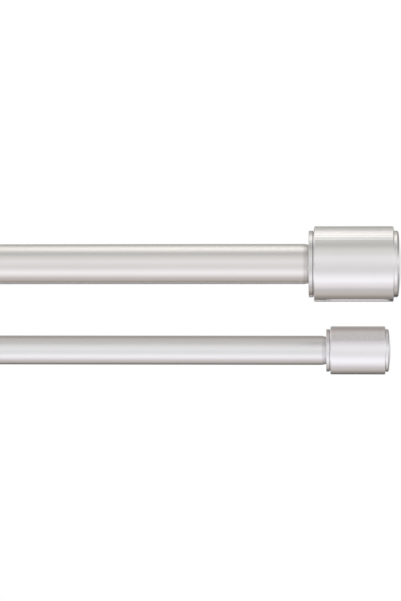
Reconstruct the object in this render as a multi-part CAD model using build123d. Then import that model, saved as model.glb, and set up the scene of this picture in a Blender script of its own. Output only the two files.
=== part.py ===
from build123d import *
import os

# Double curtain pole: a thick front pole and a thin rear pole on two wall brackets.
# Millimetres. The wall is the plane y = 0 and the room is towards -Y. +Z is up and
# +X runs along the poles to their fixed end. The origin is the middle of the right
# bracket's screw pattern, on the wall.

# Poles
front_pole_diameter = 25.4
rear_pole_diameter = 19.05
outer_tube_length = 914.4
outer_tube_wall = 1.0
inner_tube_wall = 0.8
tube_play = 0.6
nose_step = 0.15
nose_inset = 0.6
nose_length = 2.4

# Bush in the outer tube's mouth and glide on the inner tube's hidden end
bush_flange = 1.2
bush_edge_round = 0.4
bush_sleeve_length = 25.0
glide_head_length = 6.0
glide_spigot_length = 15.0
glide_bore_radius = 4.0
glide_to_plug = 3.0
bush_to_collar = 1.0

# Place of the poles and the brackets
pole_rise = 55.4
rear_pole_height = 12.0
front_projection = 130.0
rear_projection = 80.0
rear_pole_lead = 10.8
bracket_inset = 240.0
bracket_spacing = 434.4

# Front finials
front_collar_diameter = 42.1
front_collar_length = 3.3
front_barrel_diameter = 47.7
front_barrel_length = 49.9
front_barrel_wall = 4.0
front_cap_diameter = 42.1
front_cap_rim = 3.0
front_cap_round = 1.3
front_cap_dome = 1.5

# Rear finials
rear_collar_diameter = 27.7
rear_collar_length = 2.7
rear_barrel_diameter = 31.4
rear_barrel_length = 35.6
rear_barrel_wall = 3.0
rear_cap_diameter = 27.8
rear_cap_rim = 2.1
rear_cap_round = 0.9
rear_cap_dome = 1.0

# Details that all finials share
dome_flat_radius = 0.5
barrel_floor = 3.0
barrel_chamfer = 0.45
collar_round = 0.4
collar_groove_length = 0.4
collar_groove_depth = 0.5
cap_step = 0.2
cap_step_inset = 0.4
cap_spigot_length = 6.0
cap_spigot_wall = 1.6
cap_plate = 1.8

# Moulded plug that carries each finial in its tube
plug_length = 28.0
plug_rim = 2.0
plug_core_share = 0.56
plug_rib_count = 8
plug_rib_width = 1.5
plug_lead_length = 5.0
plug_lead_inset = 1.4
plug_nose_length = 1.5

# Screws: shank radius, head radius and lengths
small_screw_radius = 2.0
small_head_radius = 3.8
pan_head_side = 0.8
pan_head_dome = 1.4
finial_screw_grip = 16.0
cradle_screw_grip = 6.0
arm_screw_radius = 2.5
arm_screw_head_radius = 4.6
arm_screw_grip = 12.0
hole_end_room = 1.0
head_sink = 0.2
recess_width = 0.9
recess_depth = 1.2

# Wall plate
plate_width = 30.0
plate_thickness = 3.0
plate_corner = 8.0
plate_edge_round = 0.8
wall_screw_spacing = 60.0
wall_hole_radius = 2.25
wall_countersink_radius = 4.4
wall_hole_margin = 12.0
flange_margin = 5.0

# Arms
arm_diameter = 10.0
arm_flange_diameter = 18.0
arm_flange_length = 3.0
arm_flange_round = 1.0
arm_end_round = 2.0
arm_end_overhang = 3.0
arm_flat_depth = 1.5

# Cradles and their clamp screws
cradle_width = 16.0
cradle_wall = 3.0
cradle_gap = 0.2
cradle_lip_height = 7.0
cradle_back_height = 11.0
cradle_top_round = 1.2
foot_height = 2.0
foot_length = 14.0
boss_radius = 4.5
boss_length = 3.0
clamp_head_radius = 5.5
clamp_head_length = 7.0
clamp_head_chamfer = 0.7
clamp_head_gap = 1.0
clamp_tip_chamfer = 0.5
knurl_count = 20
knurl_depth = 0.55

# Clearances
running_gap = 0.05
screw_hole_gap = 0.15

# Sizes worked out from the values above
front_pole_height = rear_pole_height + pole_rise
arm_radius = arm_diameter / 2
arm_seat = arm_radius - arm_flat_depth

# Distance past the outer tube's mouth at which the left finial's collar starts
left_end_offset = bush_flange + bush_to_collar
inner_tube_length = outer_tube_length + left_end_offset - plug_length - glide_to_plug - glide_head_length

nodes = {}


def turned(*outline):
    """A solid turned about the X axis; the outline's edges and points are (x, radius)."""
    return revolve(make_face(Curve() + list(outline)), Axis.X)


def turned_points(*points):
    """A solid turned about the X axis from straight edges between (x, radius) points."""
    return turned(Polyline(*points, close=True))


def rod(start, end, radius):
    """A plain cylinder along X from start to end."""
    return turned_points((start, 0), (end, 0), (end, radius), (start, radius))


def cone(start, end, start_radius, end_radius):
    """A cone along X from start to end."""
    return turned_points((start, 0), (end, 0), (end, end_radius), (start, start_radius))


def dome(edge, rise):
    """The arc from a rim point (x, radius) to a tiny flat round the axis, rise further on."""
    x, radius = edge
    flat = (x + rise, dome_flat_radius)
    centre_behind = (radius**2 - dome_flat_radius**2 - rise**2) / (2 * rise)
    sphere_radius = (centre_behind**2 + radius**2) ** 0.5
    return RadiusArc(edge, flat, sphere_radius) + Line(flat, (x + rise, 0))


def cross_recess(face_x, reach):
    """The cross-shaped driver recess that starts at face_x and is cut towards +X."""
    middle = Pos(face_x + recess_depth / 2, 0, 0)
    return middle * (Box(recess_depth, reach, recess_width) + Box(recess_depth, recess_width, reach))


def outer_tube(diameter):
    """The fixed tube: its right end, a fine step down to a rounded nose, is at x = 0."""
    radius = diameter / 2
    bore = radius - outer_tube_wall
    left = -outer_tube_length
    nose_start = (nose_step - nose_length, radius - nose_step)
    nose_end = (0, radius - nose_inset)
    outside = Polyline((left, radius), (-nose_length, radius), nose_start)
    nose = TangentArc(nose_start, nose_end, tangent=(1, 0))
    inside = Polyline(nose_end, (0, bore), (left, bore), (left, radius))
    return turned(outside, nose, inside)


def mouth_bush(diameter):
    """The moulded bush in the outer tube's left mouth, which guides the inner tube."""
    radius = diameter / 2
    mouth = -outer_tube_length
    bore = inner_tube_radius(diameter) + running_gap
    sleeve = radius - outer_tube_wall - running_gap
    flange = mouth - bush_flange
    edge_side = (flange, radius - bush_edge_round)
    edge_top = (flange + bush_edge_round, radius)
    edge = TangentArc(edge_side, edge_top, tangent=(0, 1))
    body = Polyline(
        edge_top,
        (mouth, radius),
        (mouth, sleeve),
        (mouth + bush_sleeve_length, sleeve),
        (mouth + bush_sleeve_length, bore),
        (flange, bore),
        edge_side,
    )
    return turned(edge, body)


def inner_tube_radius(diameter):
    """Outer radius of the tube that slides in a pole of this diameter."""
    return diameter / 2 - outer_tube_wall - tube_play


def inner_tube(diameter):
    """The sliding tube, pushed in as far as it goes."""
    radius = inner_tube_radius(diameter)
    bore = radius - inner_tube_wall
    left = -outer_tube_length - left_end_offset
    right = left + inner_tube_length
    return turned_points((left, bore), (right, bore), (right, radius), (left, radius))


def glide(diameter):
    """The moulded glide plugged in the inner tube's hidden end."""
    start = inner_tube_length - outer_tube_length - left_end_offset
    head = diameter / 2 - outer_tube_wall - running_gap
    spigot = inner_tube_radius(diameter) - inner_tube_wall - running_gap
    return turned_points(
        (start - glide_spigot_length, glide_bore_radius),
        (start + glide_head_length, glide_bore_radius),
        (start + glide_head_length, head),
        (start, head),
        (start, spigot),
        (start - glide_spigot_length, spigot),
    )


def collar(size):
    """The turned washer between the tube's end and the barrel, with a fine groove at the barrel."""
    radius = size["collar_diameter"] / 2
    length = size["collar_length"]
    hole = small_screw_radius + screw_hole_gap
    groove_start = length - collar_groove_length
    groove_radius = radius - collar_groove_depth
    inner_side = (0, radius - collar_round)
    inner_top = (collar_round, radius)
    outer_top = (groove_start - collar_round, radius)
    outer_side = (groove_start, radius - collar_round)
    groove = Polyline((length, hole), (length, groove_radius), (groove_start, groove_radius), outer_side)
    return turned(
        Polyline(inner_side, (0, hole), (length, hole)),
        groove,
        TangentArc(outer_top, outer_side, tangent=(1, 0)),
        Line(outer_top, inner_top),
        TangentArc(inner_top, inner_side, tangent=(-1, 0)),
    )


def barrel(size):
    """The turned hollow body of the finial, open at its outer end for the cap."""
    radius = size["barrel_diameter"] / 2
    bore = radius - size["barrel_wall"]
    start = size["collar_length"]
    end = start + size["barrel_length"]
    hole = small_screw_radius + screw_hole_gap
    return turned_points(
        (start, hole),
        (start, radius - barrel_chamfer),
        (start + barrel_chamfer, radius),
        (end - barrel_chamfer, radius),
        (end, radius - barrel_chamfer),
        (end, bore),
        (start + barrel_floor, bore),
        (start + barrel_floor, hole),
    )


def end_cap(size):
    """The domed cap: a rounded rim, a shadow step under it and a spigot in the barrel."""
    radius = size["cap_diameter"] / 2
    rim = size["cap_rim"]
    seat = size["collar_length"] + size["barrel_length"]
    spigot = size["barrel_diameter"] / 2 - size["barrel_wall"] - running_gap
    face = seat + cap_step + rim
    rim_edge = (face - size["cap_round"], radius)
    dome_edge = (face, radius - size["cap_round"])
    underside = face - cap_plate
    return turned(
        TangentArc(rim_edge, dome_edge, tangent=(1, 0)),
        dome(dome_edge, size["cap_dome"]),
        Polyline(
            (face + size["cap_dome"], 0),
            (underside, 0),
            (underside, spigot - cap_spigot_wall),
            (seat - cap_spigot_length, spigot - cap_spigot_wall),
            (seat - cap_spigot_length, spigot),
            (seat, spigot),
            (seat, radius - cap_step_inset),
            (seat + cap_step, radius - cap_step_inset),
            (seat + cap_step, radius),
            rim_edge,
        ),
    )


def plug(bore_radius):
    """The moulded plug: a core, lengthwise ribs with a tapered lead, and an end rim."""
    outside = bore_radius - running_gap
    core_radius = bore_radius * plug_core_share
    lead = plug_nose_length - plug_length
    envelope = turned_points(
        (0, 0),
        (0, outside),
        (lead + plug_lead_length, outside),
        (lead, outside - plug_lead_inset),
        (lead, 0),
    )
    rib = Pos(lead / 2, 0, 0) * Box(-lead, 2 * bore_radius, plug_rib_width)
    ribs = [Rot(index * 360 / plug_rib_count, 0, 0) * rib for index in range(plug_rib_count // 2)]
    body = rod(-plug_length, 0, core_radius) + (envelope & (Part() + ribs)) + rod(-plug_rim, 0, outside)
    hole_depth = finial_screw_grip + hole_end_room
    return body - rod(-hole_depth, 0, small_screw_radius + running_gap)


def finial_screw(size):
    """The pan-head screw inside the barrel that pulls barrel and collar to the plug."""
    seat = size["collar_length"] + barrel_floor
    edge = (seat + pan_head_side, small_head_radius)
    top = seat + pan_head_side + pan_head_dome
    head = turned(dome(edge, pan_head_dome), Polyline((top, 0), (seat, 0), (seat, small_head_radius), edge))
    shank = rod(-finial_screw_grip, seat, small_screw_radius)
    recess = Rot(0, 0, 180) * cross_recess(-top, small_head_radius)
    return head + shank - recess


def add_finial(side, size, tube_bore, move):
    """One finial: its local x = 0 is the end of its tube and its axis is X."""
    nodes[f"{side}_collar"] = move * collar(size)
    nodes[f"{side}_barrel"] = move * barrel(size)
    nodes[f"{side}_end_cap"] = move * end_cap(size)
    nodes[f"{side}_plug"] = move * plug(tube_bore)
    nodes[f"{side}_finial_screw"] = move * finial_screw(size)


def add_pole(name, diameter, end_x, axis_y, axis_z, size):
    """Both tubes of one pole, their bush and glide, and a finial at each end."""
    right = Pos(end_x, axis_y, axis_z)
    left_x = end_x - outer_tube_length - left_end_offset
    left = Pos(left_x, axis_y, axis_z) * Rot(0, 0, 180)
    nodes[f"{name}_outer_tube"] = right * outer_tube(diameter)
    nodes[f"{name}_mouth_bush"] = right * mouth_bush(diameter)
    nodes[f"{name}_inner_tube"] = right * inner_tube(diameter)
    nodes[f"{name}_glide"] = right * glide(diameter)
    add_finial(f"{name}_right", size, diameter / 2 - outer_tube_wall, right)
    add_finial(f"{name}_left", size, inner_tube_radius(diameter) - inner_tube_wall, left)


def cradle_inside(diameter):
    """Inner radius of the cradle of a pole of this diameter."""
    return diameter / 2 + cradle_gap


def arm_height(diameter, pole_height):
    """Height of the axis of the arm under a pole."""
    return pole_height - cradle_inside(diameter) - cradle_wall - foot_height - arm_seat


def wall_plate(top_arm_height):
    """The rounded wall plate, its two wall-screw holes and its two arm-screw holes."""
    top = top_arm_height + arm_flange_diameter / 2 + flange_margin
    bottom = -wall_screw_spacing / 2 - wall_hole_margin
    outline = Pos(0, (top + bottom) / 2) * RectangleRounded(plate_width, top - bottom, plate_corner)
    plate = extrude(Plane.XZ * outline, plate_thickness)
    front = plate.faces().sort_by(Axis.Y)[0]
    return fillet(front.edges(), plate_edge_round)


def wall_screw_holes():
    """Cutters for the two countersunk wall-screw holes, sunk from the room side."""
    sink_depth = wall_countersink_radius - wall_hole_radius
    hole = rod(0, plate_thickness, wall_hole_radius)
    sink = cone(plate_thickness - sink_depth, plate_thickness, wall_hole_radius, wall_countersink_radius)
    spots = [Pos(0, 0, side * wall_screw_spacing / 2) for side in (-1, 1)]
    return [spot * Rot(0, 0, -90) * (hole + sink) for spot in spots]


def arm_screw(gap):
    """The countersunk screw from behind the plate into an arm; gap makes its cutter."""
    head_depth = arm_screw_head_radius - arm_screw_radius
    end = plate_thickness + arm_screw_grip
    head = cone(head_sink, head_sink + head_depth, arm_screw_head_radius + gap, arm_screw_radius + gap)
    return head + rod(head_sink, end + gap, arm_screw_radius + gap)


def arm_screw_cutter():
    """The hole and countersink of an arm screw, open to the wall and with end room."""
    mouth = rod(0, head_sink, arm_screw_head_radius + running_gap)
    end = plate_thickness + arm_screw_grip
    room = rod(end, end + hole_end_room, arm_screw_radius + running_gap)
    return arm_screw(running_gap) + mouth + room


def arm(reach):
    """A turned arm along X: a flange on the plate, a bar, and a flat for the cradle's foot."""
    start = plate_thickness
    flange_end = start + arm_flange_length
    flange_radius = arm_flange_diameter / 2
    end = reach + foot_length / 2 + arm_end_overhang
    edge_top = (flange_end - arm_flange_round, flange_radius)
    edge_side = (flange_end, flange_radius - arm_flange_round)
    nose_start = (end - arm_end_round, arm_radius)
    nose_end = (end, arm_radius - arm_end_round)
    bar = turned(
        Polyline(nose_end, (end, 0), (start, 0), (start, flange_radius), edge_top),
        TangentArc(edge_top, edge_side, tangent=(1, 0)),
        Polyline(edge_side, (flange_end, arm_radius), nose_start),
        TangentArc(nose_start, nose_end, tangent=(1, 0)),
    )
    flat_start = reach - foot_length / 2
    flat_length = end - flat_start
    flat = Pos(flat_start + flat_length / 2, 0, arm_seat + arm_radius / 2) * Box(
        flat_length, arm_diameter, arm_radius
    )
    tapped = Pos(reach, 0, arm_seat) * Rot(0, 90, 0) * rod(
        0, cradle_screw_grip + hole_end_room, small_screw_radius + running_gap
    )
    return bar - flat - tapped - arm_screw_cutter()


def cradle_screw(inside, gap):
    """The countersunk screw in the cradle's floor, pointing down from the pole's axis."""
    top = inside + head_sink
    head_depth = small_head_radius - small_screw_radius
    head = cone(top, top + head_depth, small_head_radius + gap, small_screw_radius + gap)
    end = inside + cradle_wall + foot_height + cradle_screw_grip
    return head + rod(top, end, small_screw_radius + gap)


def cradle(diameter):
    """The U-shaped cradle about a pole's axis, with a foot, a boss and two screw holes."""
    inside = cradle_inside(diameter)
    outside = inside + cradle_wall
    section = make_face(
        Curve()
        + [
            Polyline((-inside, 0), (-inside, cradle_lip_height), (-outside, cradle_lip_height), (-outside, 0)),
            ThreePointArc((-outside, 0), (0, -outside), (outside, 0)),
            Polyline((outside, 0), (outside, cradle_back_height), (inside, cradle_back_height), (inside, 0)),
            ThreePointArc((inside, 0), (0, -inside), (-inside, 0)),
        ]
    )
    trough = extrude(Plane.YZ * section, cradle_width / 2, both=True)
    tops = [edge for edge in trough.edges().filter_by(Axis.X) if edge.center().Z > cradle_lip_height / 2]
    trough = fillet(tops, cradle_top_round)
    middle = inside + cradle_wall / 2
    foot_bottom = outside + foot_height
    foot = Pos(0, 0, -foot_bottom / 2) * Box(cradle_width, foot_length, foot_bottom)
    trough += foot - rod(-cradle_width, cradle_width, middle)
    boss = Rot(0, 0, -90) * rod(middle, outside + boss_length, boss_radius)
    clamp_hole = Rot(0, 0, -90) * rod(inside / 2, outside + boss_length, small_screw_radius + running_gap)
    screw_hole = cradle_screw(inside, running_gap) + rod(
        inside / 2, inside + head_sink, small_head_radius + running_gap
    )
    return trough + boss - clamp_hole - Rot(0, 90, 0) * screw_hole


def clamp_screw(diameter):
    """The knurled screw in the cradle's lip; local X points away from the pole."""
    tip = cradle_inside(diameter)
    head_start = tip + cradle_wall + boss_length + clamp_head_gap
    head_end = head_start + clamp_head_length
    shank = turned_points(
        (tip, 0),
        (tip, small_screw_radius - clamp_tip_chamfer),
        (tip + clamp_tip_chamfer, small_screw_radius),
        (head_start, small_screw_radius),
        (head_start, 0),
    )
    teeth = [
        Vector(clamp_head_radius - depth, 0).rotate(Axis.Z, (index + shift) * 360 / knurl_count)
        for index in range(knurl_count)
        for shift, depth in ((0, 0), (0.5, knurl_depth))
    ]
    knurled = extrude(Plane.YZ * make_face(Polyline(*teeth, close=True)), clamp_head_length)
    envelope = turned_points(
        (head_start, 0),
        (head_start, clamp_head_radius - clamp_head_chamfer),
        (head_start + clamp_head_chamfer, clamp_head_radius),
        (head_end - clamp_head_chamfer, clamp_head_radius),
        (head_end, clamp_head_radius - clamp_head_chamfer),
        (head_end, 0),
    )
    return shank + (Pos(head_start, 0, 0) * knurled & envelope)


def add_bracket(side, centre_x, poles):
    """One double bracket; each pole is given as name, diameter, projection and height."""
    place = Pos(centre_x, 0, 0)
    outward = Rot(0, 0, -90)
    arm_screws = []
    cradle_screws = []
    heights = [arm_height(diameter, height) for name, diameter, projection, height in poles]
    plate = wall_plate(max(heights)) - wall_screw_holes()
    for (name, diameter, projection, height), root in zip(poles, heights):
        foot = place * Pos(0, 0, root) * outward
        axis = place * Pos(0, -projection, height)
        plate -= Pos(0, 0, root) * outward * arm_screw_cutter()
        screw = arm_screw(0) - cross_recess(head_sink, arm_screw_head_radius)
        arm_screws.append(foot * screw)
        cradle_head = cradle_inside(diameter) + head_sink
        floor_screw = cradle_screw(cradle_inside(diameter), 0) - cross_recess(cradle_head, small_head_radius)
        cradle_screws.append(axis * Rot(0, 90, 0) * floor_screw)
        nodes[f"{side}_{name}_arm"] = foot * arm(projection)
        nodes[f"{side}_{name}_cradle"] = axis * cradle(diameter)
        nodes[f"{side}_{name}_clamp_screw"] = axis * outward * clamp_screw(diameter)
    nodes[f"{side}_wall_plate"] = place * plate
    nodes[f"{side}_arm_screws"] = Compound(children=[screw.solid() for screw in arm_screws])
    nodes[f"{side}_cradle_screws"] = Compound(children=[screw.solid() for screw in cradle_screws])


front_finial = {
    "collar_diameter": front_collar_diameter,
    "collar_length": front_collar_length,
    "barrel_diameter": front_barrel_diameter,
    "barrel_length": front_barrel_length,
    "barrel_wall": front_barrel_wall,
    "cap_diameter": front_cap_diameter,
    "cap_rim": front_cap_rim,
    "cap_round": front_cap_round,
    "cap_dome": front_cap_dome,
}
rear_finial = {
    "collar_diameter": rear_collar_diameter,
    "collar_length": rear_collar_length,
    "barrel_diameter": rear_barrel_diameter,
    "barrel_length": rear_barrel_length,
    "barrel_wall": rear_barrel_wall,
    "cap_diameter": rear_cap_diameter,
    "cap_rim": rear_cap_rim,
    "cap_round": rear_cap_round,
    "cap_dome": rear_cap_dome,
}
add_pole("front", front_pole_diameter, bracket_inset, -front_projection, front_pole_height, front_finial)
rear_end = bracket_inset + rear_pole_lead
add_pole("rear", rear_pole_diameter, rear_end, -rear_projection, rear_pole_height, rear_finial)
pole_seats = [
    ("front", front_pole_diameter, front_projection, front_pole_height),
    ("rear", rear_pole_diameter, rear_projection, rear_pole_height),
]
add_bracket("right", 0, pole_seats)
add_bracket("left", -bracket_spacing, pole_seats)

os.makedirs("parts", exist_ok=True)
for name, shape in nodes.items():
    export_step(shape, f"parts/{name}.step")
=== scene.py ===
from math import atan2, cos, pi, radians, sin

import bpy
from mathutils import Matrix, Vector


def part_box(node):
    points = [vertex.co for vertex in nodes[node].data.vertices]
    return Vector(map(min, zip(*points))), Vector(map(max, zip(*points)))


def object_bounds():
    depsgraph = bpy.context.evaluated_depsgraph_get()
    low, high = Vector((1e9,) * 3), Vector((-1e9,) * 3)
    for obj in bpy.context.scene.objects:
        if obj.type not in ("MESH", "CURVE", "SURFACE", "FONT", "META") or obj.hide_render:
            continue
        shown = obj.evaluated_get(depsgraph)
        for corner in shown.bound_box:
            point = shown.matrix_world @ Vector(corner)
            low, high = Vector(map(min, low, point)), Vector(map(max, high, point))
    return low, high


# Metres, in the part's own frame: +X along the poles, +Y into the wall, +Z up.
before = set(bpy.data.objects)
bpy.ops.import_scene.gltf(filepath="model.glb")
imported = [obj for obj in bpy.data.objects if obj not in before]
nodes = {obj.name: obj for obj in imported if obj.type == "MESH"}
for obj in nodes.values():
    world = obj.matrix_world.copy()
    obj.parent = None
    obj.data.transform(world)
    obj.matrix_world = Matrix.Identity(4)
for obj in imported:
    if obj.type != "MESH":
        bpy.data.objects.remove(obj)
cad_low, cad_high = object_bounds()
FINIAL_ENDS = ("front_right", "front_left", "rear_right", "rear_left")

# Camera: level, square to the right-hand finials, turned a little towards the poles
CAMERA_DISTANCE = 1.5
CAMERA_RIGHT_OF_COLLAR = 0.0165
CAMERA_BELOW_FRONT_AXIS = 0.0230
CAMERA_LENS_MM = 142.5
CAMERA_TURN_DEGREES = 3.236
SENSOR_MM = 36

# Floor: pale, and fading out before its edge
FLOOR_DEPTH = 0.60
FLOOR_HALF_SIZE = 3.6
FLOOR_SOLID_RADIUS = 1.6
FLOOR_COLOUR = (0.93, 0.928, 0.922)
FLOOR_DULL_SHARE = 0.98
FLOOR_ROUGHNESS = 0.8

# Tints of the studio's light, with green at 1
PLAIN = (1.0, 1.0, 1.0)
DAYLIGHT = (1.0, 1.0, 1.03)
CREAM = (0.99, 1.0, 0.96)
PINK = (1.04, 1.0, 1.01)
SAND = (1.085, 1.0, 0.925)

# The studio round the poles: degrees above the camera's side of the horizon, brightness, tint
STUDIO_BANDS = (
    (-180, 0.70, PLAIN),
    (-166, 0.45, PLAIN),
    (-148, 0.05, SAND),
    (-124, 0.32, SAND),
    (-102, 0.58, SAND),
    (-88, 0.62, PINK),
    (-70, 0.92, PINK),
    (-53, 1.15, DAYLIGHT),
    (-17, 0.84, PLAIN),
    (16, 0.96, PLAIN),
    (37, 0.83, CREAM),
    (60, 0.61, CREAM),
    (78, 0.60, CREAM),
    (98, 0.58, SAND),
    (110, 0.45, SAND),
    (126, 0.32, SAND),
    (138, 0.40, SAND),
    (154, 0.40, CREAM),
    (168, 0.90, CREAM),
    (180, 0.90, PLAIN),
)

# The studio's brightness at its left and right ends, by the height of the direction
LEFT_END = (
    (-1.0, 0.25),
    (-0.7, 0.30),
    (-0.5, 0.45),
    (-0.43, 0.80),
    (-0.37, 1.20),
    (-0.3, 1.20),
    (-0.2, 0.95),
    (-0.1, 0.82),
    (0.15, 0.85),
    (0.22, 0.72),
    (0.35, 0.55),
    (0.42, 0.65),
    (0.48, 1.10),
    (0.62, 1.00),
    (0.75, 0.45),
    (1.0, 0.35),
)
RIGHT_END = (
    (-1.0, 0.22),
    (-0.5, 0.24),
    (-0.42, 0.55),
    (-0.1, 0.60),
    (0.03, 0.88),
    (0.20, 0.92),
    (0.32, 0.60),
    (0.41, 0.50),
    (0.46, 0.36),
    (0.5, 0.18),
    (1.0, 0.30),
)

# Where each starts and is full, by how far a direction of length 1 goes sideways or into the wall
TURN_TO_LEFT_END = (0.35, 0.80)
TURN_TO_RIGHT_END = (0.15, 0.60)
SIDE_LAMP_REACH = (0.80, 0.95)
BEHIND_REACH = (0.72, 0.90)
SIDE_LAMP_BRIGHTNESS = 0.18
BEHIND_DIMNESS = 0.6
DIFFUSE_BRIGHTNESS = 0.92
BACKDROP_BRIGHTNESS = 1.0

# Gridded strip lamps over the front pole: their narrow beams reach it and miss the rear pole.
# Each has its degrees above the camera's side of the horizon, and its glow, shown only by gloss.
LAMP_DISTANCE = 0.12
LAMP_LENGTH = 1.9
LAMP_STEP_DEGREES = 10
LAMP_WIDEST_BEAM_DEGREES = 36
LAMP_TURN_DEGREES = 3
LAMP_AIM_RADIUS = 0.018
LAMP_COLOUR = (0.945, 1.0, 0.985)
FRONT_LAMPS = (
    (64, 0.20),
    (74, 0.62),
    (84, 0.95),
    (94, 1.05),
    (104, 1.00),
    (114, 0.70),
    (124, 0.42),
    (134, 0.20),
)

# Fill lamps between the poles: they light the rear pole's upper front, which the front pole shades
FILL_DISTANCE = 0.035
FILL_STEP_DEGREES = 8
FILL_HALF_BEAM_DEGREES = 35
FILL_LAMPS = (
    (38, 0.18),
    (46, 0.34),
    (54, 0.24),
)

# Satin nickel, as each pole, its finials and the brackets show it
FRONT_POLE_NICKEL = (0.815, 0.785, 0.779)
FRONT_FINIAL_NICKEL = (0.826, 0.808, 0.813)
REAR_POLE_NICKEL = (0.855, 0.845, 0.857)
REAR_FINIAL_NICKEL = (0.898, 0.882, 0.903)
BRACKET_NICKEL = (0.800, 0.785, 0.775)
FRONT_POLE_ROUGHNESS = 0.19
FRONT_FINIAL_ROUGHNESS = 0.10
REAR_POLE_ROUGHNESS = 0.25
REAR_FINIAL_ROUGHNESS = 0.23
BRACKET_ROUGHNESS = 0.25

# Shares of the colour left: where the metal is duller in thin cloud, and on the collars as painted
# shade next to the barrels
DULL_SHARE = 0.95
FRONT_COLLAR_PAINTED_SHADE = 0.88
REAR_COLLAR_PAINTED_SHADE = 0.95

# Painted shade in a band round each tube, next to its nose and the collar
FRONT_NOSE_PAINTED_SHADE = 0.86
REAR_NOSE_PAINTED_SHADE = 0.99
NOSE_SHADE_FROM_END = 0.0026
NOSE_SHADE_CORE = 0.0002
NOSE_SHADE_REACH = 0.0016

# Painted shade in each collar's groove, next to the barrel
FRONT_GROOVE_PAINTED_SHADE = 0.50
REAR_GROOVE_PAINTED_SHADE = 0.80
GROOVE_SHADE_FROM_BARREL = 0.0006
GROOVE_SHADE_CORE = 0.0002
GROOVE_SHADE_REACH = 0.0004

# Zinc-plated screws and moulded nylon: their colours and roughness from thin to thick cloud
ZINC_COLOURS = ((0.56, 0.57, 0.60), (0.72, 0.72, 0.72))
ZINC_ROUGHNESS = (0.24, 0.38)
NYLON_COLOURS = ((0.74, 0.725, 0.685), (0.84, 0.83, 0.80))
NYLON_ROUGHNESS = (0.40, 0.55)
THIN_CLOUD = 0.3
THICK_CLOUD = 0.7

# Noise patterns, with their scale in details to the metre
BRUSHING = {"scale": 2600, "detail": 3}
POLE_CLOUD = {"scale": 60, "detail": 3}
RINGS = {"scale": 3200, "detail": 3}
WIDE_RINGS = {"scale": 520, "detail": 2}
FINIAL_CLOUD = {"scale": 45, "detail": 3}
BRACKET_CLOUD = {"scale": 70, "detail": 4}
BRACKET_GRAIN = {"scale": 2400, "detail": 2}
ZINC_CLOUD = {"scale": 240, "detail": 4}
ZINC_GRAIN = {"scale": 3000, "detail": 2}
NYLON_CLOUD = {"scale": 90, "detail": 3}
NYLON_GRAIN = {"scale": 1800, "detail": 3}
FLOOR_CLOUD = {"scale": 1.5, "detail": 3}

# How much of x counts in the patterns that run along the poles, and of y + z in the rings
BRUSHING_ALONG = 0.012
POLE_CLOUD_ALONG = 0.25
RING_DRIFT = 0.02

# The relief of the fine patterns
BRUSHING_RELIEF = {"strength": 0.05, "distance": 0.00004}
RING_RELIEF = {"strength": 0.08, "distance": 0.00004}
WIDE_RING_RELIEF = {"strength": 0.05, "distance": 0.00006}
BRACKET_RELIEF = {"strength": 0.08, "distance": 0.00002}
ZINC_RELIEF = {"strength": 0.10, "distance": 0.00005}
NYLON_RELIEF = {"strength": 0.12, "distance": 0.00006}

# The roughness that a fine pattern and a cloud add at most
POLE_WEAR = (0.07, 0.05)
FINIAL_WEAR = (0.06, 0.04)
BRACKET_WEAR = (0.06, 0.08)

# The colour sockets of a Mix node: its two inputs and its output
MIX_FIRST = 6
MIX_SECOND = 7
MIX_RESULT = 2


def lowest_and_highest(node):
    """The two corners of a CAD node, as vectors."""
    low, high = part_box(node)
    return Vector(low), Vector(high)


def axis_of(node):
    """The y and z of the axis of a round node that lies along X."""
    low, high = lowest_and_highest(node)
    return (low.y + high.y) / 2, (low.z + high.z) / 2


def opaque(colour):
    """The colour as four parts, with a full alpha."""
    return tuple(colour) + (1.0,)


def times(factor, colour):
    """The colour with each of its parts times the factor."""
    return tuple(factor * part for part in colour)


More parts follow.
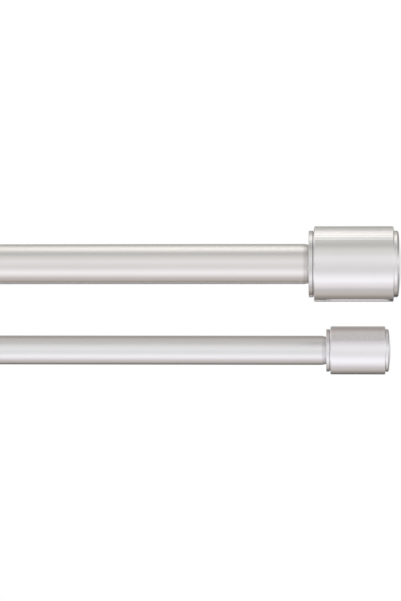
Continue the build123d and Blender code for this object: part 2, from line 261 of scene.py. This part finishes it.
class Graph:
    """A small helper that builds a node tree and joins its nodes."""

    def __init__(self, tree):
        self.tree = tree
        tree.nodes.clear()

    def node(self, kind, **settings):
        """A new node with these settings."""
        made = self.tree.nodes.new(kind)
        for name, value in settings.items():
            setattr(made, name, value)
        return made

    def link(self, source, target):
        """Joins an output to an input."""
        self.tree.links.new(source, target)

    def put(self, socket, value):
        """Joins value to socket if it is another node's output, and sets it otherwise."""
        if isinstance(value, bpy.types.NodeSocket):
            self.link(value, socket)
        else:
            socket.default_value = value

    def math(self, operation, first, second=0.0):
        """A Math node's result."""
        made = self.node("ShaderNodeMath", operation=operation)
        self.put(made.inputs[0], first)
        self.put(made.inputs[1], second)
        return made.outputs[0]

    def ranged(self, value, low, high, new_low, new_high):
        """The value moved from the range low to high into a new one, and held within it."""
        made = self.node("ShaderNodeMapRange")
        for socket, setting in zip(made.inputs, (value, low, high, new_low, new_high)):
            self.put(socket, setting)
        return made.outputs[0]

    def mix(self, share, first, second):
        """A colour between two others."""
        made = self.node("ShaderNodeMix", data_type="RGBA")
        self.put(made.inputs["Factor"], share)
        self.put(made.inputs[MIX_FIRST], first)
        self.put(made.inputs[MIX_SECOND], second)
        return made.outputs[MIX_RESULT]

    def noise(self, vector, scale, detail):
        """A noise pattern's strength at the vector."""
        made = self.node("ShaderNodeTexNoise")
        self.put(made.inputs["Vector"], vector)
        self.put(made.inputs["Scale"], scale)
        self.put(made.inputs["Detail"], detail)
        return made.outputs["Fac"]

    def combine(self, x, y, z):
        """A vector of three parts."""
        made = self.node("ShaderNodeCombineXYZ")
        for socket, setting in zip(made.inputs, (x, y, z)):
            self.put(socket, setting)
        return made.outputs[0]

    def place(self, kind="Object"):
        """The x, y and z of the shaded point, or of the direction in the world."""
        coordinates = self.node("ShaderNodeTexCoord")
        split = self.node("ShaderNodeSeparateXYZ")
        self.link(coordinates.outputs[kind], split.inputs[0])
        return split.outputs

    def offset(self, value, centre):
        """How far the value is from a centre, either way."""
        return self.math("ABSOLUTE", self.math("SUBTRACT", value, centre))

    def distance(self, first, second, first_centre, second_centre):
        """The distance of (first, second) from a centre."""
        across = self.math("SUBTRACT", first, first_centre)
        above = self.math("SUBTRACT", second, second_centre)
        across_squared = self.math("MULTIPLY", across, across)
        above_squared = self.math("MULTIPLY", above, above)
        return self.math("SQRT", self.math("ADD", across_squared, above_squared))

    def ramp(self, share, stops):
        """A smooth colour ramp; stops are (position, colour)."""
        made = self.node("ShaderNodeValToRGB")
        made.color_ramp.interpolation = "EASE"
        elements = made.color_ramp.elements
        while len(elements) < len(stops):
            elements.new(0.5)
        for element, (position, colour) in zip(elements, stops):
            element.position = position
            element.color = colour
        self.put(made.inputs[0], share)
        return made.outputs[0]

    def brighter(self, colour, amount):
        """The colour with an amount of white light added."""
        made = self.node("ShaderNodeVectorMath", operation="ADD")
        self.put(made.inputs[0], colour)
        self.put(made.inputs[1], self.combine(amount, amount, amount))
        return made.outputs[0]

    def scaled(self, colour, factor):
        """The colour times a factor."""
        made = self.node("ShaderNodeVectorMath", operation="SCALE")
        self.put(made.inputs[0], colour)
        self.put(made.inputs["Scale"], factor)
        return made.outputs[0]

    def bump(self, height, strength, distance, normal=None):
        """The normal that a relief gives, over another relief's normal where there is one."""
        made = self.node("ShaderNodeBump")
        self.put(made.inputs["Height"], height)
        made.inputs["Strength"].default_value = strength
        made.inputs["Distance"].default_value = distance
        if normal is not None:
            self.link(normal, made.inputs["Normal"])
        return made.outputs[0]

    def worn(self, fine, cloud, wear, roughness):
        """The roughness, with what a fine pattern and a cloud add to it."""
        fine_wear, cloud_wear = wear
        fine_part = self.math("MULTIPLY", fine, fine_wear)
        cloud_part = self.math("MULTIPLY", cloud, cloud_wear)
        return self.math("ADD", self.math("ADD", fine_part, cloud_part), roughness)

    def varied(self, cloud, colour):
        """The colour, a little duller where the cloud is thin."""
        return self.mix(cloud, opaque(times(DULL_SHARE, colour)), opaque(colour))


def new_material(name, metallic=0.0):
    """A material with a plain shader, the graph that feeds it, and the shader's inputs."""
    material = bpy.data.materials.new(name)
    material.use_nodes = True
    graph = Graph(material.node_tree)
    shader = graph.node("ShaderNodeBsdfPrincipled")
    shader.inputs["Metallic"].default_value = metallic
    output = graph.node("ShaderNodeOutputMaterial")
    graph.link(shader.outputs[0], output.inputs["Surface"])
    return material, graph, shader.inputs


def pole_nickel(name, end_x, colour, roughness, nose_shade_share):
    """Drawn tube: fine lengthwise brushing, a cloud in its sheen, and painted shade in a band at its
    nose, next to the collar.
    """
    material, graph, shader = new_material(name, metallic=1.0)
    x, y, z = graph.place()
    streak = graph.noise(graph.combine(graph.math("MULTIPLY", x, BRUSHING_ALONG), y, z), **BRUSHING)
    cloud = graph.noise(graph.combine(graph.math("MULTIPLY", x, POLE_CLOUD_ALONG), y, z), **POLE_CLOUD)
    # Painted shade: darker colour in a band round the tube near its nose, where the collar shades it
    off_nose_shade = graph.offset(x, end_x - NOSE_SHADE_FROM_END)
    painted_shade = graph.ranged(off_nose_shade, NOSE_SHADE_CORE, NOSE_SHADE_REACH, nose_shade_share, 1.0)
    graph.put(shader["Base Color"], graph.scaled(graph.varied(cloud, colour), painted_shade))
    graph.put(shader["Roughness"], graph.worn(streak, cloud, POLE_WEAR, roughness))
    graph.put(shader["Normal"], graph.bump(streak, **BRUSHING_RELIEF))
    return material


def turned_nickel(name, axis_y, axis_z, colour, roughness, groove_shade=None):
    """Turned metal: rings about the axis, on its side and end faces, and painted shade in its groove.

    The groove's painted shade, where there is one, is its x and the share of the colour left in it.
    """
    material, graph, shader = new_material(name, metallic=1.0)
    x, y, z = graph.place()
    radius = graph.distance(y, z, axis_y, axis_z)
    drift = graph.math("MULTIPLY", graph.math("ADD", y, z), RING_DRIFT)
    rings = graph.noise(graph.combine(x, radius, drift), **RINGS)
    wide_rings = graph.noise(graph.combine(x, radius, drift), **WIDE_RINGS)
    cloud = graph.noise(graph.combine(x, y, z), **FINIAL_CLOUD)
    sheen = graph.varied(cloud, colour)
    if groove_shade is not None:
        groove_x, groove_shade_share = groove_shade
        # Painted shade: the colour darkens in a narrow band at the groove, between collar and barrel
        off_groove_shade = graph.offset(x, groove_x)
        painted_shade = graph.ranged(off_groove_shade, GROOVE_SHADE_CORE, GROOVE_SHADE_REACH, groove_shade_share, 1.0)
        sheen = graph.scaled(sheen, painted_shade)
    graph.put(shader["Base Color"], sheen)
    graph.put(shader["Roughness"], graph.worn(rings, cloud, FINIAL_WEAR, roughness))
    fine = graph.bump(rings, **RING_RELIEF)
    graph.put(shader["Normal"], graph.bump(wide_rings, **WIDE_RING_RELIEF, normal=fine))
    return material


def bracket_nickel():
    """Pressed and turned bracket parts: a finer, evener satin than the poles."""
    material, graph, shader = new_material("satin_nickel_bracket", metallic=1.0)
    x, y, z = graph.place()
    cloud = graph.noise(graph.combine(x, y, z), **BRACKET_CLOUD)
    grain = graph.noise(graph.combine(x, y, z), **BRACKET_GRAIN)
    graph.put(shader["Base Color"], graph.varied(cloud, BRACKET_NICKEL))
    graph.put(shader["Roughness"], graph.worn(grain, cloud, BRACKET_WEAR, BRACKET_ROUGHNESS))
    graph.put(shader["Normal"], graph.bump(grain, **BRACKET_RELIEF))
    return material


def screw_steel():
    """Zinc-plated screws: bluish, and brighter where their cloud is thick."""
    material, graph, shader = new_material("zinc_screw", metallic=1.0)
    x, y, z = graph.place()
    cloud = graph.noise(graph.combine(x, y, z), **ZINC_CLOUD)
    grain = graph.noise(graph.combine(x, y, z), **ZINC_GRAIN)
    graph.put(shader["Base Color"], graph.mix(cloud, *map(opaque, ZINC_COLOURS)))
    graph.put(shader["Roughness"], graph.ranged(cloud, THIN_CLOUD, THICK_CLOUD, *ZINC_ROUGHNESS))
    graph.put(shader["Normal"], graph.bump(grain, **ZINC_RELIEF))
    return material


def moulded_nylon():
    """Milky moulded nylon with a faint mould texture."""
    material, graph, shader = new_material("moulded_nylon")
    x, y, z = graph.place()
    cloud = graph.noise(graph.combine(x, y, z), **NYLON_CLOUD)
    grain = graph.noise(graph.combine(x, y, z), **NYLON_GRAIN)
    graph.put(shader["Base Color"], graph.mix(cloud, *map(opaque, NYLON_COLOURS)))
    graph.put(shader["Roughness"], graph.ranged(grain, THIN_CLOUD, THICK_CLOUD, *NYLON_ROUGHNESS))
    graph.put(shader["Normal"], graph.bump(grain, **NYLON_RELIEF))
    return material


def dress(material, names):
    """Gives the material to every slot of the named CAD nodes."""
    for name in names:
        for slot in nodes[name].material_slots:
            slot.material = material


def dress_pole(pole, colour, roughness, nose_shade_share):
    """The finish of a pole's two tubes."""
    end_x = lowest_and_highest(f"{pole}_outer_tube")[1].x
    material = pole_nickel(f"satin_nickel_{pole}_pole", end_x, colour, roughness, nose_shade_share)
    dress(material, [f"{pole}_outer_tube", f"{pole}_inner_tube"])


def dress_finial(end, colour, roughness, collar_shade_share, groove_shade_share):
    """The finish of a finial's barrel and cap, and of its collar, whose colour is darkened as painted
    shade next to the barrel.
    """
    axis = axis_of(f"{end}_barrel")
    bright = turned_nickel(f"turned_nickel_{end}", *axis, colour, roughness)
    dress(bright, [f"{end}_barrel", f"{end}_end_cap"])
    low, high = lowest_and_highest(f"{end}_collar")
    groove_x = low.x + GROOVE_SHADE_FROM_BARREL
    if end.endswith("right"):
        groove_x = high.x - GROOVE_SHADE_FROM_BARREL
    # Painted shade: the collar gets the barrel's colour, darkened for the shade it sits in next to the
    # barrel
    shaded_colour = times(collar_shade_share, colour)
    groove_shade = (groove_x, groove_shade_share)
    dull = turned_nickel(f"turned_nickel_{end}_collar", *axis, shaded_colour, roughness, groove_shade)
    dress(dull, [f"{end}_collar"])


def dress_all():
    """Every CAD node gets its finish."""
    dress_pole("front", FRONT_POLE_NICKEL, FRONT_POLE_ROUGHNESS, FRONT_NOSE_PAINTED_SHADE)
    dress_pole("rear", REAR_POLE_NICKEL, REAR_POLE_ROUGHNESS, REAR_NOSE_PAINTED_SHADE)
    front_finish = (FRONT_FINIAL_NICKEL, FRONT_FINIAL_ROUGHNESS, FRONT_COLLAR_PAINTED_SHADE, FRONT_GROOVE_PAINTED_SHADE)
    rear_finish = (REAR_FINIAL_NICKEL, REAR_FINIAL_ROUGHNESS, REAR_COLLAR_PAINTED_SHADE, REAR_GROOVE_PAINTED_SHADE)
    for end in FINIAL_ENDS:
        dress_finial(end, *(front_finish if end.startswith("front") else rear_finish))
    others = (
        (moulded_nylon(), ("_plug", "_bush", "_glide")),
        (screw_steel(), ("_finial_screw", "_arm_screws", "_cradle_screws")),
        (bracket_nickel(), ("_plate", "_arm", "_cradle", "_clamp_screw")),
    )
    for material, name_ends in others:
        dress(material, [name for name in nodes if name.endswith(name_ends)])


def see_through(graph, opacity):
    """Lets the graph's shader fade out where opacity falls to 0."""
    output = graph.tree.nodes["Material Output"].inputs["Surface"]
    shader = output.links[0].from_socket
    clear = graph.node("ShaderNodeBsdfTransparent")
    mixed = graph.node("ShaderNodeMixShader")
    graph.put(mixed.inputs[0], opacity)
    graph.link(clear.outputs[0], mixed.inputs[1])
    graph.link(shader, mixed.inputs[2])
    graph.link(mixed.outputs[0], output)


def floor_material(middle):
    """Pale, clouded, and clear away from the middle."""
    material, graph, shader = new_material("pale_floor")
    x, y, z = graph.place()
    cloud = graph.noise(graph.combine(x, y, z), **FLOOR_CLOUD)
    dull = times(FLOOR_DULL_SHARE, FLOOR_COLOUR)
    graph.put(shader["Base Color"], graph.mix(cloud, opaque(dull), opaque(FLOOR_COLOUR)))
    graph.put(shader["Roughness"], FLOOR_ROUGHNESS)
    away = graph.distance(x, y, middle.x, middle.y)
    see_through(graph, graph.ranged(away, FLOOR_SOLID_RADIUS, FLOOR_HALF_SIZE, 1.0, 0.0))
    return material


def make_floor():
    """A plain pale floor, well under the poles."""
    middle = (cad_low + cad_high) / 2
    level = cad_low.z - FLOOR_DEPTH
    left, right = middle.x - FLOOR_HALF_SIZE, middle.x + FLOOR_HALF_SIZE
    near, far = middle.y - FLOOR_HALF_SIZE, middle.y + FLOOR_HALF_SIZE
    corners = ((left, near, level), (right, near, level), (right, far, level), (left, far, level))
    mesh = bpy.data.meshes.new("floor")
    mesh.from_pydata(corners, [], [(0, 1, 2, 3)])
    mesh.materials.append(floor_material(middle))
    floor = bpy.data.objects.new("floor", mesh)
    bpy.context.scene.collection.objects.link(floor)
    floor.visible_glossy = False


def strip_lamp(name, place, tilt, turn, width, half_beam, glow, colour):
    """A lamp along the poles, shown only by gloss; glow is its brightness in mid-beam."""
    data = bpy.data.lights.new(name, "AREA")
    data.shape = "RECTANGLE"
    data.size = LAMP_LENGTH
    data.size_y = width
    data.color = colour
    # A narrower beam makes the same energy brighter, so the energy follows the beam.
    data.spread = 2 * half_beam
    data.energy = glow * pi * LAMP_LENGTH * width * half_beam**2 / 3
    lamp = bpy.data.objects.new(name, data)
    bpy.context.scene.collection.objects.link(lamp)
    lamp.location = place
    lamp.rotation_mode = "YXZ"
    lamp.rotation_euler = (tilt, turn, 0)
    lamp.visible_camera = False
    lamp.visible_diffuse = False


def outwards(up):
    """The direction square to the poles, at this angle above the camera's side of the horizon."""
    return Vector((0, -cos(up), sin(up)))


def beam_past_rear(start, aim):
    """Half the widest beam angle from start towards aim that still misses the rear barrels."""
    low, high = lowest_and_highest("rear_right_barrel")
    towards = (aim - start).normalized()
    to_rear = Vector((start.x, *axis_of("rear_right_barrel"))) - start
    clear = to_rear.cross(towards).length - (high.z - low.z) / 2
    return min(atan2(clear, to_rear.dot(towards)), radians(LAMP_WIDEST_BEAM_DEGREES / 2))


def make_front_lamps():
    """The strip lamps, side by side on an arc over and behind the front pole."""
    axis = Vector(((cad_low.x + cad_high.x) / 2, *axis_of("front_outer_tube")))
    width = LAMP_DISTANCE * radians(LAMP_STEP_DEGREES)
    turn = radians(-LAMP_TURN_DEGREES)
    for degrees, glow in FRONT_LAMPS:
        up = radians(degrees)
        start = axis + LAMP_DISTANCE * outwards(up)
        aim = axis + LAMP_AIM_RADIUS * outwards(up / 2)
        tilt = atan2((aim - start).y, (start - aim).z)
        name = f"strip_lamp_{degrees}"
        strip_lamp(name, start, tilt, turn, width, beam_past_rear(start, aim), glow, LAMP_COLOUR)


def make_fill_lamps():
    """The fill lamps, side by side between the two poles, turned to the rear one."""
    axis = Vector(((cad_low.x + cad_high.x) / 2, *axis_of("rear_outer_tube")))
    width = FILL_DISTANCE * radians(FILL_STEP_DEGREES)
    half_beam = radians(FILL_HALF_BEAM_DEGREES)
    for degrees, glow in FILL_LAMPS:
        up = radians(degrees)
        start = axis + FILL_DISTANCE * outwards(up)
        strip_lamp(f"fill_lamp_{degrees}", start, pi / 2 - up, 0, width, half_beam, glow, PLAIN)


def grey(brightness):
    """A plain grey of this brightness."""
    return opaque(times(brightness, PLAIN))


def end_ramp(graph, height, bands):
    """A ramp of plain bands up one end of the studio."""
    return graph.ramp(height, [((level + 1) / 2, grey(value)) for level, value in bands])


def make_studio():
    """Soft studio light: bright and dim bands along the poles, which only gloss shows."""
    world = bpy.data.worlds.new("studio")
    bpy.context.scene.world = world
    world.use_nodes = True
    world.cycles.sampling_method = "NONE"
    graph = Graph(world.node_tree)
    path = graph.node("ShaderNodeLightPath").outputs
    x, y, z = graph.place("Generated")
    angle = graph.math("ARCTAN2", z, graph.math("MULTIPLY", y, -1.0))
    round_poles = graph.ranged(angle, -pi, pi, 0.0, 1.0)
    stops = [
        ((degrees + 180) / 360, opaque(times(brightness, tint)))
        for degrees, brightness, tint in STUDIO_BANDS
    ]
    bands = graph.ramp(round_poles, stops)
    height = graph.ranged(z, -1.0, 1.0, 0.0, 1.0)
    side_lamp = graph.ranged(x, *SIDE_LAMP_REACH, 0.0, SIDE_LAMP_BRIGHTNESS)
    right = graph.brighter(end_ramp(graph, height, RIGHT_END), side_lamp)
    right = graph.scaled(right, graph.ranged(y, *BEHIND_REACH, 1.0, BEHIND_DIMNESS))
    left = end_ramp(graph, height, LEFT_END)
    leftwards = graph.math("MULTIPLY", x, -1.0)
    bands = graph.mix(graph.ranged(leftwards, *TURN_TO_LEFT_END, 0.0, 1.0), bands, left)
    bands = graph.mix(graph.ranged(x, *TURN_TO_RIGHT_END, 0.0, 1.0), bands, right)
    lit = graph.mix(path["Is Glossy Ray"], grey(DIFFUSE_BRIGHTNESS), bands)
    seen = graph.mix(path["Is Camera Ray"], lit, grey(BACKDROP_BRIGHTNESS))
    background = graph.node("ShaderNodeBackground")
    graph.link(seen, background.inputs["Color"])
    output = graph.node("ShaderNodeOutputWorld")
    graph.link(background.outputs[0], output.inputs["Surface"])


def make_camera():
    """A long lens, level, at a height between the two poles."""
    collar_left = lowest_and_highest("front_right_collar")[0].x
    axis_y, axis_z = axis_of("front_outer_tube")
    data = bpy.data.cameras.new("camera")
    data.lens = CAMERA_LENS_MM
    data.sensor_width = SENSOR_MM
    camera = bpy.data.objects.new("camera", data)
    bpy.context.scene.collection.objects.link(camera)
    camera.location = (
        collar_left + CAMERA_RIGHT_OF_COLLAR,
        axis_y - CAMERA_DISTANCE,
        axis_z - CAMERA_BELOW_FRONT_AXIS,
    )
    camera.rotation_euler = (radians(90), 0, radians(CAMERA_TURN_DEGREES))
    bpy.context.scene.camera = camera
    bpy.context.scene.view_settings.view_transform = "Standard"


dress_all()
make_floor()
make_front_lamps()
make_fill_lamps()
make_studio()
make_camera()
